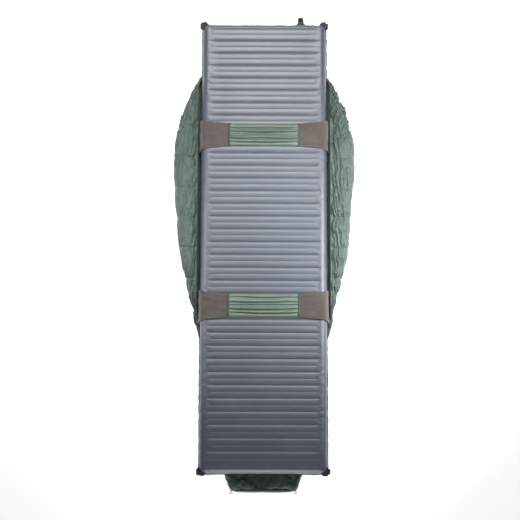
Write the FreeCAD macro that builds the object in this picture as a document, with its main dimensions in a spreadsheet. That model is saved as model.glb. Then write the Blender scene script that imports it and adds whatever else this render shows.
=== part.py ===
import FreeCAD, Part

# Camp quilt strapped to its air pad, as it lies with the pad's ground side up.
#
# +Y points to the head end and +Z up. The quilt's outer face lies on the floor, its sides fold up beside the
# pad, and two elastic straps sewn to its edges run over the pad. "Station" is a distance from the pad's head
# edge towards the foot end. All lengths are millimetres.

import os

import Sketcher
from FreeCAD import Vector

DRIVING_SIZES = {
    # air pad
    "pad_length": 1830,
    "pad_width": 510,
    "pad_height": 64,          # over the rib crests
    "pad_low": 52,             # height of the pad's lower rib crests above the floor
    "rib_pitch": 26.04,
    "rib_count": 68,
    "rib_shift": 4.5,          # the rib field's middle, from the pad's middle towards the head
    "rib_rise": 4,
    "rib_groove": 0.6,         # height of the grooves' bottoms above the sheet
    "rib_half_width": 222,
    "film": 0.8,               # pad fabric
    "foil": 0.3,               # films of the inner core
    "weld_width": 3,
    "weld_film": 1.6,
    "tab_radius": 8.5,
    "tab_height": 7,
    "tab_in": 2,               # tab centre inside the pad's side
    "tab_out": 6,              # tab centre beyond the pad's end
    "head_line": 941,          # Y of the pad's head edge; puts the origin under the middle of the whole
    # quilt
    "head_station": 60,
    "foot_station": 1896,
    "baffle_pitch": 124,
    "loft": 30,                # thickness of one filled layer
    "skin": 0.8,
    "wall": 0.6,               # baffle wall
    "seam_room": 0.2,          # room between fill and skin
    "side_chamfer": 12,
    "side_knee": 14,
    "flap_edge": 268,          # inner edge of the folded-up sides, from the centre line
    "flap_start": 230,
    "flap_end": 1200,
    "flap_edge_high": 62,
    "flap_side_high": 64,
    "flap_crest_high": 84,
    "foot_fold": 1300,         # station where the sides meet and the closed footbox starts
    "foot_gap": 8,
    "foot_high": 50,
    "edge_tape": 1.6,
    "end_cloth": 1.2,
    # straps over the pad
    "upper_strap": 471,
    "lower_strap": 1167,
    "strap_wide": 128,
    "strap_narrow": 92,
    "strap_reach": 142,        # side panel's inner end, from the centre line
    "strap_cloth": 1.2,
    "strap_side": 265.2,       # inner face beside the pad
    "strap_clear": 1.4,        # over the rib crests
    "strap_low": 40,
    "strap_bend": 25.5,
    "strap_taper": 240,        # where a side panel starts to narrow
    "seam_tape": 4,
    "gather_height": 3.2,      # gathered middle, a flat tube
    "gather_wall": 0.9,
    "gather_hem": 3,
    # valve, measured outwards from the pad's head edge
    "valve_across": 150,
    "boot_radius": 19,
    "boot_tip_radius": 11.5,
    "boot_length": 10,
    "tube_radius": 9,
    "tube_bore": 6.5,
    "tube_inside": 12,
    "collar_radius": 12.2,
    "collar_start": 10.2,
    "collar_end": 15.5,
    "neck_radius": 8,
    "neck_end": 22,
    "valve_seat": 9,
    "seat_bore": 3.5,
    "stem_radius": 2.4,
    "disc_radius": 5.6,
    "knob_radius": 11.6,
    "knob_start": 16.5,
    "knob_roof": 25,
    "knob_end": 28,
    "knob_grooves": 12,
    # small parts of the quilt
    "loop_across": 128,
    "loop_height": 25,
    "loop_radius": 5,
    "loop_cord": 1.1,
    "tab_across": 165,
    "tab_level": 14,
    "snap_radius": 6,
}

# half the quilt's width, from the centre line, at stations between the head end and the foot end
OUTLINE = [
    (60, 185), (200, 263), (304, 315), (403, 352), (577, 373), (729, 362), (933, 344),
    (1096, 307), (1278, 265), (1500, 222), (1700, 183), (1836, 157), (1896, 133),
]
SIDES = {"left": -1, "right": 1}

doc = FreeCAD.newDocument("camp_quilt")
sheet = doc.addObject("Spreadsheet::Sheet", "Sizes")
for row, (alias, value) in enumerate(DRIVING_SIZES.items(), start=1):
    sheet.set(f"A{row}", str(value))
    sheet.setAlias(f"A{row}", alias)
doc.recompute()


def size(alias):
    """A driving dimension's value, read back from the sheet."""
    return float(sheet.get(alias))


def bind(thing, **expressions):
    """Binds properties to expressions of the sheet; two underscores stand for a dot."""
    for prop, text in expressions.items():
        thing.setExpression(prop.replace("__", "."), text)


def place(thing, across="0", along="0", up="0"):
    """Binds a placement's base to three expressions."""
    bind(thing, Placement__Base__x=across, Placement__Base__y=along, Placement__Base__z=up)


# ---------------------------------------------------------------- parametric helpers

def new_body(label):
    body = doc.addObject("PartDesign::Body", label)
    body.Label = label
    return body


def polygon_sketch(body, name, plane, corners):
    """A closed, fully constrained polygon. Each corner is a pair of expressions of the sheet."""
    sketch = body.newObject("Sketcher::SketchObject", name)
    support = [f for f in body.Origin.OriginFeatures if f.Role == plane][0]
    sketch.AttachmentSupport = [(support, "")]
    sketch.MapMode = "FlatFace"
    points = [Vector(*(float(sketch.evalExpression(text)) for text in corner), 0) for corner in corners]
    count = len(points)
    for i in range(count):
        sketch.addGeometry(Part.LineSegment(points[i], points[(i + 1) % count]), False)
    for i in range(count):
        sketch.addConstraint(Sketcher.Constraint("Coincident", i, 2, (i + 1) % count, 1))
    for i, corner in enumerate(corners):
        for kind, text, value in zip(("DistanceX", "DistanceY"), corner, points[i]):
            number = sketch.addConstraint(Sketcher.Constraint(kind, -1, 1, i, 1, value))
            sketch.setExpression(f"Constraints[{number}]", text)
    return sketch


def rectangle(low_x, high_x, low_y, high_y):
    return [(low_x, low_y), (high_x, low_y), (high_x, high_y), (low_x, high_y)]


def padded_body(label, plane, corners, length, midplane=False):
    body = new_body(label)
    pad = body.newObject("PartDesign::Pad", label + "_pad")
    pad.Profile = polygon_sketch(body, label + "_profile", plane, corners)
    pad.Midplane = midplane
    bind(pad, Length=length)
    return body


def turned_body(label, corners):
    """A body turned about its own Y axis; each corner is (radius, distance along the axis)."""
    body = new_body(label)
    sketch = polygon_sketch(body, label + "_profile", "XY_Plane", corners)
    turn = body.newObject("PartDesign::Revolution", label + "_turn")
    turn.Profile = sketch
    turn.ReferenceAxis = (sketch, ["V_Axis"])
    turn.Angle = 360
    return body


def box(label, length, width, height):
    made = doc.addObject("Part::Box", label)
    made.Label = label
    bind(made, Length=length, Width=width, Height=height)
    return made


def cylinder(label, radius, height):
    made = doc.addObject("Part::Cylinder", label)
    made.Label = label
    bind(made, Radius=radius, Height=height)
    return made


def cut(label, base, tool):
    made = doc.addObject("Part::Cut", label)
    made.Label = label
    made.Base, made.Tool = base, tool
    return made


def group(kind, label, members):
    """A Part::MultiFuse, Part::MultiCommon or Part::Compound of the members."""
    made = doc.addObject(kind, label)
    made.Label = label
    if kind == "Part::Compound":
        made.Links = members
    else:
        made.Shapes = members
    return made


def fixed_shape(label, solids):
    """A Part::Feature holding one solid, or several as a group."""
    made = doc.addObject("Part::Feature", label)
    made.Label = label
    made.Shape = solids[0] if len(solids) == 1 else Part.makeCompound(solids)
    return made


# ---------------------------------------------------------------- air pad

def rounded_slab(label, inset):
    """The pad's envelope without its ribs, all edges rounded, moved inwards by an expression."""
    half_x = f"(Sizes.pad_width / 2 - {inset})"
    half_y = f"(Sizes.pad_length / 2 - {inset})"
    height = f"Sizes.pad_height - 2 * Sizes.rib_rise - 2 * {inset}"
    outline = rectangle("-" + half_x, half_x, "-" + half_y, half_y)
    body = padded_body(label, "XY_Plane", outline, height, midplane=True)
    doc.recompute()
    block = body.Tip
    rounding = body.newObject("PartDesign::Fillet", label + "_round")
    rounding.Base = (block, ["Edge1"])
    rounding.UseAllEdges = True
    bind(rounding, Radius=f"({height}) / 2 - 0.1")
    body.Tip = rounding
    return body


def rib_field():
    """The row of arched ribs on one side, as one strip whose flat base lies inside the pad's fabric."""
    pitch, rise = size("rib_pitch"), size("rib_rise")
    half_y = pitch * size("rib_count") / 2
    face = size("pad_height") / 2 - rise
    groove, base = face + size("rib_groove"), face - size("film") / 2
    edges = []
    for i in range(int(size("rib_count"))):
        start, end = -half_y + i * pitch, -half_y + (i + 1) * pitch
        crest = Vector(0, start + pitch / 2, face + rise)
        edges.append(Part.Arc(Vector(0, start, groove), crest, Vector(0, end, groove)).toShape())
    corners = [Vector(0, half_y, groove), Vector(0, half_y, base), Vector(0, -half_y, base),
               Vector(0, -half_y, groove)]
    edges += Part.makePolygon(corners).Edges
    half_x = size("rib_half_width")
    profile = Part.Face(Part.Wire(edges))
    profile.translate(Vector(-half_x, size("rib_shift"), 0))
    return profile.extrude(Vector(2 * half_x, 0, 0))


def zigzag_film(low, high):
    """A corrugated film between two heights, one fold per rib."""
    pitch, count, foil = size("rib_pitch"), int(size("rib_count")), size("foil")
    half_y = pitch * count / 2
    fold = [(-half_y + i * pitch / 2, low if i % 2 == 0 else high - 2 * foil) for i in range(2 * count + 1)]
    corners = [Vector(0, y, z) for y, z in fold] + [Vector(0, y, z + 2 * foil) for y, z in reversed(fold)]
    half_x = size("rib_half_width")
    profile = Part.Face(Part.makePolygon(corners + corners[:1]))
    profile.translate(Vector(-half_x, size("rib_shift"), 0))
    return profile.extrude(Vector(2 * half_x, 0, 0))


def make_pad():
    """Ground sheet, sleep sheet, welded rim, corner tabs and the inner core. Local Z 0 is the weld's level."""
    middle = "Sizes.pad_low + Sizes.pad_height / 2"
    centre = "Sizes.head_line - Sizes.pad_length / 2"
    outer = rounded_slab("pad_envelope", "0")
    air = rounded_slab("pad_air", "Sizes.film")
    hollow = cut("pad_hollow", outer, air)
    passage = cylinder("pad_valve_hole", "Sizes.tube_radius + 0.2", "100")
    passage.Placement.Rotation = FreeCAD.Rotation(Vector(1, 0, 0), -90)
    place(passage, "Sizes.valve_across", "Sizes.pad_length / 2 - 50")
    skin = cut("pad_skin", hollow, passage)
    for label, turn in (("pad_ground_sheet", 0), ("pad_sleep_sheet", 180)):
        half = box(label + "_half", "Sizes.pad_width + 20", "Sizes.pad_length + 20", "Sizes.pad_height")
        lift = "0" if turn == 0 else "-Sizes.pad_height"
        place(half, "-Sizes.pad_width / 2 - 10", "-Sizes.pad_length / 2 - 10", lift)
        wall = group("Part::MultiCommon", label + "_wall", [skin, half])
        ribs = rib_field()
        ribs.rotate(Vector(), Vector(0, 1, 0), turn)
        field = fixed_shape(label + "_ribs", [ribs])
        made = group("Part::MultiFuse", label, [wall, field])
        place(made, along=centre, up=middle)
        nodes.append(made)

    rim_reach = "Sizes.weld_width"
    half_x, half_y = "Sizes.pad_width / 2", "Sizes.pad_length / 2"
    outline = rectangle(f"-{half_x} - {rim_reach}", f"{half_x} + {rim_reach}",
                        f"-{half_y} - {rim_reach}", f"{half_y} + {rim_reach}")
    plate = padded_body("weld_plate", "XY_Plane", outline, "Sizes.weld_film", midplane=True)
    hole = group("Part::MultiFuse", "weld_tools", [outer, *corner_discs("Sizes.tab_radius + 0.2", "rim"),
                                                   boot_hole()])
    rim = cut("pad_weld_rim", plate, hole)
    place(rim, along=centre, up=middle)
    nodes.append(rim)

    tabs = group("Part::Compound", "pad_corner_tabs", corner_discs("Sizes.tab_radius", "tab"))
    place(tabs, along=centre, up=middle)
    nodes.append(tabs)

    room = size("film") + size("foil")
    reach = size("pad_height") / 2 - size("rib_rise") - room
    foil = size("foil")
    layers = {
        "pad_core_ground_side": zigzag_film(foil, reach),
        "pad_core_sleep_side": zigzag_film(-reach, -foil),
        "pad_reflective_film": Part.makeBox(
            2 * size("rib_half_width"), size("rib_pitch") * size("rib_count"), foil,
            Vector(-size("rib_half_width"), size("rib_shift") - size("rib_pitch") * size("rib_count") / 2,
                   -foil / 2)),
    }
    for label, solid in layers.items():
        made = fixed_shape(label, [solid])
        place(made, along=centre, up=middle)
        nodes.append(made)


def corner_discs(radius, name):
    """Four upright discs at the pad's corners, about the weld's level."""
    discs = []
    for x_sign in (-1, 1):
        for y_sign in (-1, 1):
            disc = cylinder(f"corner_{name}_{len(discs) + 1}", radius, "Sizes.tab_height")
            place(disc, f"{x_sign} * (Sizes.pad_width / 2 - Sizes.tab_in)",
                  f"{y_sign} * (Sizes.pad_length / 2 + Sizes.tab_out)", "-Sizes.tab_height / 2")
            discs.append(disc)
    return discs


def boot_hole():
    hole = cylinder("boot_hole", "Sizes.boot_radius + 0.3", "40")
    hole.Placement.Rotation = FreeCAD.Rotation(Vector(1, 0, 0), -90)
    place(hole, "Sizes.valve_across", "Sizes.pad_length / 2 - 10")
    return hole


# ---------------------------------------------------------------- valve

def make_valve():
    """Valve parts turned about an axis along +Y, with their own origin at the pad's head edge."""
    profiles = {
        "valve_boot": [
            ("Sizes.tube_radius + 0.1", "0.3"), ("Sizes.boot_radius", "0.3"),
            ("Sizes.boot_tip_radius", "Sizes.boot_length"), ("Sizes.tube_radius + 0.1", "Sizes.boot_length"),
        ],
        "valve_body": [
            ("Sizes.tube_bore", "-Sizes.tube_inside"), ("Sizes.tube_radius", "-Sizes.tube_inside"),
            ("Sizes.tube_radius", "Sizes.collar_start"), ("Sizes.collar_radius", "Sizes.collar_start"),
            ("Sizes.collar_radius", "Sizes.collar_end"), ("Sizes.neck_radius", "Sizes.collar_end"),
            ("Sizes.neck_radius", "Sizes.neck_end"), ("Sizes.tube_bore", "Sizes.neck_end"),
            ("Sizes.tube_bore", "Sizes.valve_seat"), ("Sizes.seat_bore", "Sizes.valve_seat"),
            ("Sizes.seat_bore", "Sizes.valve_seat - 2"), ("Sizes.tube_bore", "Sizes.valve_seat - 2"),
        ],
        "valve_seal": [
            ("Sizes.seat_bore", "Sizes.valve_seat + 0.05"), ("Sizes.disc_radius", "Sizes.valve_seat + 0.05"),
            ("Sizes.disc_radius", "Sizes.valve_seat + 1.2"), ("Sizes.seat_bore", "Sizes.valve_seat + 1.2"),
        ],
        "valve_plunger": [
            ("0", "-4"), ("Sizes.stem_radius", "-4"),
            ("Sizes.stem_radius", "Sizes.valve_seat + 1.2"), ("Sizes.disc_radius", "Sizes.valve_seat + 1.2"),
            ("Sizes.disc_radius", "Sizes.valve_seat + 3.2"), ("Sizes.stem_radius + 1.6", "Sizes.valve_seat + 3.2"),
            ("Sizes.stem_radius + 1.6", "Sizes.knob_roof - 0.3"), ("Sizes.stem_radius + 0.6", "Sizes.knob_roof - 0.3"),
            ("Sizes.stem_radius + 0.6", "Sizes.knob_roof + 1.8"), ("0", "Sizes.knob_roof + 1.8"),
        ],
        "valve_knob": [
            ("Sizes.neck_radius + 0.3", "Sizes.knob_start"), ("Sizes.knob_radius", "Sizes.knob_start"),
            ("Sizes.knob_radius", "Sizes.knob_end"), ("0", "Sizes.knob_end"),
            ("0", "Sizes.knob_roof + 2"), ("Sizes.stem_radius + 0.65", "Sizes.knob_roof + 2"),
            ("Sizes.stem_radius + 0.65", "Sizes.knob_roof"), ("Sizes.neck_radius + 0.3", "Sizes.knob_roof"),
        ],
    }
    for label, corners in profiles.items():
        body = turned_body(label, corners)
        if label == "valve_knob":
            groove_knob(body)
        place(body, "Sizes.valve_across", "Sizes.head_line", "Sizes.pad_low + Sizes.pad_height / 2")
        nodes.append(body)


def groove_knob(body):
    """Grip grooves round the knob's rim."""
    doc.recompute()
    corners = rectangle("-0.9", "0.9", "Sizes.knob_radius - 0.7", "Sizes.knob_radius + 1")
    sketch = polygon_sketch(body, "knob_groove_profile", "XZ_Plane", corners)
    groove = body.newObject("PartDesign::Pocket", "knob_groove")
    groove.Profile = sketch
    groove.Reversed = False
    groove.Midplane = True
    bind(groove, Length="2 * Sizes.knob_end + 4")
    ring = body.newObject("PartDesign::PolarPattern", "knob_groove_ring")
    ring.Originals = [groove]
    ring.Axis = ([f for f in body.Origin.OriginFeatures if f.Role == "Y_Axis"][0], [""])
    ring.Angle = 360
    bind(ring, Occurrences="Sizes.knob_grooves")
    body.Tip = ring


# ---------------------------------------------------------------- straps

def make_straps():
    top = "Sizes.pad_low + Sizes.pad_height + Sizes.strap_clear"
    for name in ("upper", "lower"):
        along = f"Sizes.head_line - Sizes.{name}_strap"
        gather_end = "(Sizes.strap_reach - Sizes.seam_tape)"
        low = f"({top} - 0.4)"
        tube = padded_body(
            f"{name}_strap_gathered_middle", "XZ_Plane",
            rectangle("-" + gather_end, gather_end, low, f"{low} + Sizes.gather_height"),
            "Sizes.strap_narrow", midplane=True)
        hollow_tube(tube, low)
        elastic = padded_body(
            f"{name}_strap_elastic", "XZ_Plane",
            rectangle("-" + gather_end, gather_end, f"{low} + Sizes.gather_wall + 0.1",
                      f"{low} + Sizes.gather_height - Sizes.gather_wall - 0.1"),
            "Sizes.strap_narrow - 2 * Sizes.gather_hem - 1", midplane=True)
        pieces = [tube, elastic]
        for side, sign in SIDES.items():
            near, far = sorted((gather_end, "Sizes.strap_reach"), reverse=sign < 0)
            seam = padded_body(
                f"{name}_strap_seam_{side}", "XZ_Plane",
                rectangle(f"{sign} * {near}", f"{sign} * {far}", low, f"{low} + Sizes.gather_height + 0.3"),
                "Sizes.strap_narrow", midplane=True)
            pieces += [seam, side_panel(f"{name}_strap_panel_{side}", sign, top)]
        for piece in pieces:
            place(piece, along=along)
            nodes.append(piece)


def hollow_tube(body, low):
    """Opens the slot that the elastic runs through."""
    doc.recompute()
    half = "(Sizes.strap_narrow / 2 - Sizes.gather_hem)"
    corners = rectangle("-" + half, half, f"{low} + Sizes.gather_wall",
                        f"{low} + Sizes.gather_height - Sizes.gather_wall")
    slot = body.newObject("PartDesign::Pocket", body.Label + "_slot")
    slot.Profile = polygon_sketch(body, body.Label + "_slot_profile", "YZ_Plane", corners)
    slot.Midplane = True
    bind(slot, Length="2 * Sizes.strap_reach")
    body.Tip = slot


def side_panel(label, sign, top):
    """Stretch panel from the quilt's edge up round the pad's side and in over its ribs, narrowing inwards."""
    cloth = "Sizes.strap_cloth"
    inner, reach = f"{sign} * Sizes.strap_side", f"{sign} * Sizes.strap_reach"
    outer = f"{sign} * (Sizes.strap_side + {cloth})"
    corners = [(inner, "Sizes.strap_low"), (outer, "Sizes.strap_low"), (outer, f"{top} + {cloth}"),
               (reach, f"{top} + {cloth}"), (reach, top), (inner, top)]
    body = padded_body(label, "XZ_Plane", corners, "Sizes.strap_wide", midplane=True)
    doc.recompute()
    for edge_sign in (-1, 1):
        wide, narrow = f"{edge_sign} * Sizes.strap_wide / 2", f"{edge_sign} * Sizes.strap_narrow / 2"
        triangle = [(f"{sign} * Sizes.strap_taper", f"1.001 * {wide}"), (f"{reach} - {sign} * 1", f"1.001 * {wide}"),
                    (f"{reach} - {sign} * 1", narrow), (reach, narrow)]
        trim = body.newObject("PartDesign::Pocket", f"{label}_trim_{'head' if edge_sign > 0 else 'foot'}")
        trim.Profile = polygon_sketch(body, trim.Name + "_profile", "XY_Plane", triangle)
        trim.Midplane = True
        bind(trim, Length="400")
        body.Tip = trim
        doc.recompute()
    trimmed = body.Tip
    bend = body.newObject("PartDesign::Fillet", label + "_bend")
    bend.Base = (trimmed, corner_edges(trimmed.Shape, sign))
    bind(bend, Radius="Sizes.strap_bend")
    body.Tip = bend
    return body


def corner_edges(shape, sign):
    """The two long edges where the panel turns from the pad's side onto its face."""
    found = []
    limit = size("pad_low") + size("pad_height")
    for i, edge in enumerate(shape.Edges, start=1):
        bounds = edge.BoundBox
        if (bounds.YLength > size("strap_wide") / 2 and bounds.ZMin > limit
                and sign * bounds.Center.x > size("strap_side") - 0.01):
            found.append(f"Edge{i}")
    return found


# ---------------------------------------------------------------- quilt outline and sections

def half_width(station):
    """Half the quilt's width: a smooth curve through OUTLINE, by cubic pieces with averaged slopes."""
    slopes = []
    for i in range(len(OUTLINE)):
        a, b = OUTLINE[max(i - 1, 0)], OUTLINE[min(i + 1, len(OUTLINE) - 1)]
        slopes.append((b[1] - a[1]) / (b[0] - a[0]))
    for i in range(len(OUTLINE) - 1):
        (x0, w0), (x1, w1) = OUTLINE[i], OUTLINE[i + 1]
        if station <= x1:
            break
    span = x1 - x0
    t = (station - x0) / span
    return ((2 * t**3 - 3 * t**2 + 1) * w0 + (t**3 - 2 * t**2 + t) * span * slopes[i]
            + (-2 * t**3 + 3 * t**2) * w1 + (t**3 - t**2) * span * slopes[i + 1])


def seam_stations():
    """The head end, each baffle seam, and the foot end."""
    head, foot, pitch = size("head_station"), size("foot_station"), size("baffle_pitch")
    count = int((foot - head) / pitch)
    return [head + i * pitch for i in range(count + 1)] + [foot]


def width_at(station):
    """Half the width with straight sides between seams, as every lofted piece has."""
    stations = seam_stations()
    for low, high in zip(stations, stations[1:]):
        if station <= high:
            break
    share = (station - low) / (high - low)
    return half_width(low) * (1 - share) + half_width(high) * share


def between(start, end):
    """Start, the seams between, and end."""
    return [start] + [s for s in seam_stations() if start < s < end] + [end]


def loft(section, stations):
    """A closed solid with straight sides through section(station), a list of (x, z) corners."""
    wires = []
    for station in stations:
        y = size("head_line") - station
        corners = [Vector(x, y, z) for x, z in section(station)]
        wires.append(Part.makePolygon(corners + corners[:1]))
    return Part.makeLoft(wires, True, True)


def plate(inset, low, thickness, start, end):
    """A flat sheet with the quilt's outline, moved inwards by inset."""
    right = [Vector(width_at(s) - inset, size("head_line") - s, low) for s in between(start, end)]
    left = [Vector(-p.x, p.y, p.z) for p in reversed(right)]
    corners = right + left
    return Part.Face(Part.makePolygon(corners + corners[:1])).extrude(Vector(0, 0, thickness))


def mirrored(section):
    return lambda station: [(-x, z) for x, z in section(station)]


def both_sides(section, side):
    return section if side == "right" else mirrored(section)


def layer_section(station):
    """Fill of the layer on the floor."""
    w, room = width_at(station), size("skin") + size("seam_room")
    foot = w - size("side_chamfer") - 0.3
    top = size("loft") - room
    right = [(foot, room), (w - room, size("side_knee")), (w - room, top)]
    return right + [(-x, z) for x, z in reversed(right)]


def flap_outline(station, inset):
    """Folded-up side, beside the pad: lower inner corner, then round by the outside."""
    w, edge, low = width_at(station), size("flap_edge"), size("loft")
    share = min(1, (w - edge) / 70)
    side = low + share * (size("flap_side_high") - low - 4) + 4
    crest = size("flap_edge_high") + share * (size("flap_crest_high") - size("flap_edge_high"))
    return [
        (edge + inset, low + inset), (w - inset, low + inset), (w - inset, side - 0.4 * inset),
        (w - 3 - 22 * share, crest - 1.1 * inset), (edge + inset, size("flap_edge_high") - 1.2 * inset),
    ]


def flap_skin_section(station):
    """Outer skin of a folded-up side, from the fold over the crest to the edge tape."""
    outside, inside = flap_outline(station, 0)[1:], flap_outline(station, size("skin"))[1:]
    outside[0] = (outside[0][0], size("loft"))
    inside[0] = (inside[0][0], size("loft"))
    inside[-1] = (outside[-1][0], inside[-1][1])
    return outside + inside[::-1]


def flap_lining_section(station):
    low, skin = size("loft"), size("skin")
    inner, outer = size("flap_edge"), width_at(station) - skin - 0.1
    return [(inner, low), (outer, low), (outer, low + skin), (inner, low + skin)]


def side_skin_section(station):
    """Outer skin from the floor up to the fold."""
    w, skin, knee = width_at(station), size("skin"), size("side_knee")
    foot = w - size("side_chamfer")
    return [(foot, 0), (w, knee), (w, size("loft")), (w - skin, size("loft")), (w - skin, knee), (foot, skin)]


def foot_side_section(station):
    """Outer skin of the footbox, from the fold up to its top sheet."""
    w, skin, low, high = width_at(station), size("skin"), size("loft"), size("foot_high")
    return [(w, low), (w, high - 6), (w - 6, high), (w - 6, high - skin), (w - skin, high - 6.4), (w - skin, low)]


def foot_fill_section(station):
    w, room = width_at(station), size("skin") + size("seam_room")
    low, high = size("loft") + size("foot_gap") + room, size("foot_high") - room
    right = [(w - 7 - room, low), (w - 7 - room, high)]
    return right + [(-x, z) for x, z in reversed(right)]


# ---------------------------------------------------------------- quilt pieces

def make_fill():
    """One node per baffle chamber: the layer on the floor, with its two folded-up ends or the footbox layer."""
    stations, gap = seam_stations(), size("wall") / 2
    for number, (start, end) in enumerate(zip(stations, stations[1:]), start=1):
        solids = [loft(layer_section, [start + gap, end - gap])]
        first, last = max(start + gap, size("flap_start") + 1), min(end - gap, size("flap_end") - 1)
        if last - first > 10:
            for side in SIDES:
                fill = both_sides(lambda s: flap_outline(s, size("skin") + size("seam_room")), side)
                solids.append(loft(fill, [first, last]))
        if start >= size("foot_fold"):
            solids.append(loft(foot_fill_section, [start + gap, end - gap]))
        nodes.append(fixed_shape(f"fill_{number:02d}", solids))


def make_baffle_walls():
    gap = size("wall") / 2 - 0.05
    solids = []
    for seam in seam_stations()[1:-1]:
        ends = [seam - gap, seam + gap]
        solids.append(loft(layer_section, ends))
        if size("flap_start") < seam < size("flap_end"):
            for side in SIDES:
                section = both_sides(lambda s: flap_outline(s, size("skin") + size("seam_room")), side)
                solids.append(loft(section, ends))
        if seam > size("foot_fold"):
            solids.append(loft(foot_fill_section, ends))
    nodes.append(fixed_shape("baffle_walls", solids))


def make_shell():
    head, foot, fold = size("head_station"), size("foot_station"), size("foot_fold")
    skin, low = size("skin"), size("loft")
    nodes.append(fixed_shape("shell_face", [plate(size("side_chamfer"), 0, skin, head, foot)]))
    nodes.append(fixed_shape("lining_face", [plate(skin + 0.1, low - skin, skin, head, foot)]))
    flap = between(size("flap_start"), size("flap_end"))
    for side in SIDES:
        outer = [loft(both_sides(side_skin_section, side), between(head, foot)),
                 loft(both_sides(flap_skin_section, side), flap)]
        nodes.append(fixed_shape(f"shell_side_{side}", outer))
        nodes.append(fixed_shape(f"lining_side_{side}", [loft(both_sides(flap_lining_section, side), flap)]))
    box_length = between(fold, foot)
    top = [plate(6, size("foot_high") - skin, skin, fold, foot)]
    top += [loft(both_sides(foot_side_section, side), box_length) for side in SIDES]
    nodes.append(fixed_shape("shell_foot_underside", top))
    nodes.append(fixed_shape("lining_foot_underside", [plate(7, low + size("foot_gap"), skin, fold, foot)]))


def make_edges():
    """Edge tapes, the neck binding and the footbox's end panel."""
    for side, sign in SIDES.items():
        tape = box(f"edge_tape_{side}", "Sizes.edge_tape", "Sizes.flap_end - Sizes.flap_start",
                   "Sizes.flap_edge_high - Sizes.loft")
        inner = "Sizes.flap_edge - Sizes.edge_tape" if sign > 0 else "-Sizes.flap_edge"
        place(tape, inner, "Sizes.head_line - Sizes.flap_end", "Sizes.loft")
        nodes.append(tape)
    ends = {
        "neck_binding": (size("head_station"), -1, size("loft"), 0),
        "foot_end_panel": (size("foot_station"), 1, size("foot_high"), 6),
    }
    for label, (station, outwards, high, corner) in ends.items():
        w = width_at(station)
        right = [(w - size("side_chamfer"), 0), (w, size("side_knee")), (w, high - corner), (w - corner, high)]
        if corner == 0:
            right = right[:-1]
        profile = right + [(-x, z) for x, z in reversed(right)]
        y = size("head_line") - station
        corners = [Vector(x, y, z) for x, z in profile]
        face = Part.Face(Part.makePolygon(corners + corners[:1]))
        nodes.append(fixed_shape(label, [face.extrude(Vector(0, -outwards * size("end_cloth"), 0))]))


def make_foot_loops():
    for side, sign in SIDES.items():
        loop = doc.addObject("Part::Torus", f"foot_loop_{side}")
        loop.Label = f"foot_loop_{side}"
        bind(loop, Radius1="Sizes.loop_radius", Radius2="Sizes.loop_cord")
        reach = "Sizes.end_cloth + Sizes.loop_radius + Sizes.loop_cord + 0.3"
        place(loop, f"{sign} * Sizes.loop_across", f"Sizes.head_line - Sizes.foot_station - ({reach})",
              "Sizes.loop_height")
        nodes.append(loop)


def make_neck_closure():
    """Two tabs at the neck corners with the halves of a snap. Each half is riveted through its tab."""
    halves = {
        "right": ("neck_snap_stud", [("0", "1.3"), ("3.2", "1.3"), ("3.2", "2.2"), ("2.2", "3"), ("2.8", "4.4"),
                                     ("0", "4.8")]),
        "left": ("neck_snap_socket", [("3.4", "1.3"), ("Sizes.snap_radius", "1.3"), ("Sizes.snap_radius", "3.4"),
                                      ("5", "4.2"), ("3.4", "4.2")]),
    }
    cap = [("0", "-2.2"), ("4.5", "-2.2"), ("Sizes.snap_radius", "-1"), ("Sizes.snap_radius", "-0.1"),
           ("1.4", "-0.1"), ("1.4", "1.3"), ("0", "1.3")]
    centre = "Sizes.head_line - Sizes.head_station + 17"
    for side, sign in SIDES.items():
        across = f"{sign} * Sizes.tab_across"
        webbing = box(f"neck_tab_{side}_webbing", "20", "25", "Sizes.end_cloth")
        place(webbing, f"{across} - 10", "Sizes.head_line - Sizes.head_station + Sizes.end_cloth",
              "Sizes.tab_level")
        hole = cylinder(f"neck_tab_{side}_hole", "1.5", "10")
        place(hole, across, centre, "Sizes.tab_level - 5")
        nodes.append(cut(f"neck_tab_{side}", webbing, hole))
        label, corners = halves[side]
        rivet = "neck_snap_stud_cap" if side == "right" else "neck_snap_socket_cap"
        for piece, outline in ((label, corners), (rivet, cap)):
            body = turned_body(piece, outline)
            body.Placement.Rotation = FreeCAD.Rotation(Vector(1, 0, 0), 90)
            place(body, across, centre, "Sizes.tab_level")
            nodes.append(body)


# ---------------------------------------------------------------- build, check and write

nodes = []
make_pad()
make_valve()
make_straps()
make_fill()
make_baffle_walls()
make_shell()
make_edges()
make_foot_loops()
make_neck_closure()
doc.recompute()

failed = [thing.Label for thing in doc.Objects if {"Invalid", "Error"} & set(thing.State)]
if failed:
    raise RuntimeError(f"objects failed to compute: {failed}")
for node in nodes:
    shape = node.Shape
    if shape.isNull() or not shape.isValid() or not shape.Solids:
        raise RuntimeError(f"{node.Label} has no valid solid")

os.makedirs("parts", exist_ok=True)
for old in os.listdir("parts"):
    os.remove(os.path.join("parts", old))
for node in nodes:
    node.Shape.exportStep(os.path.join("parts", node.Label + ".step"))

whole = Part.makeCompound([node.Shape for node in nodes]).BoundBox
print(f"{len(nodes)} nodes, X {whole.XMin:.1f} to {whole.XMax:.1f}, Y {whole.YMin:.1f} to {whole.YMax:.1f}, "
      f"Z {whole.ZMin:.1f} to {whole.ZMax:.1f}")
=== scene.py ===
"""Looks for the camp quilt and its air pad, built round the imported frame.
Metres, +Y to the head end, +Z up."""
import bmesh
import bpy
import math

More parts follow.
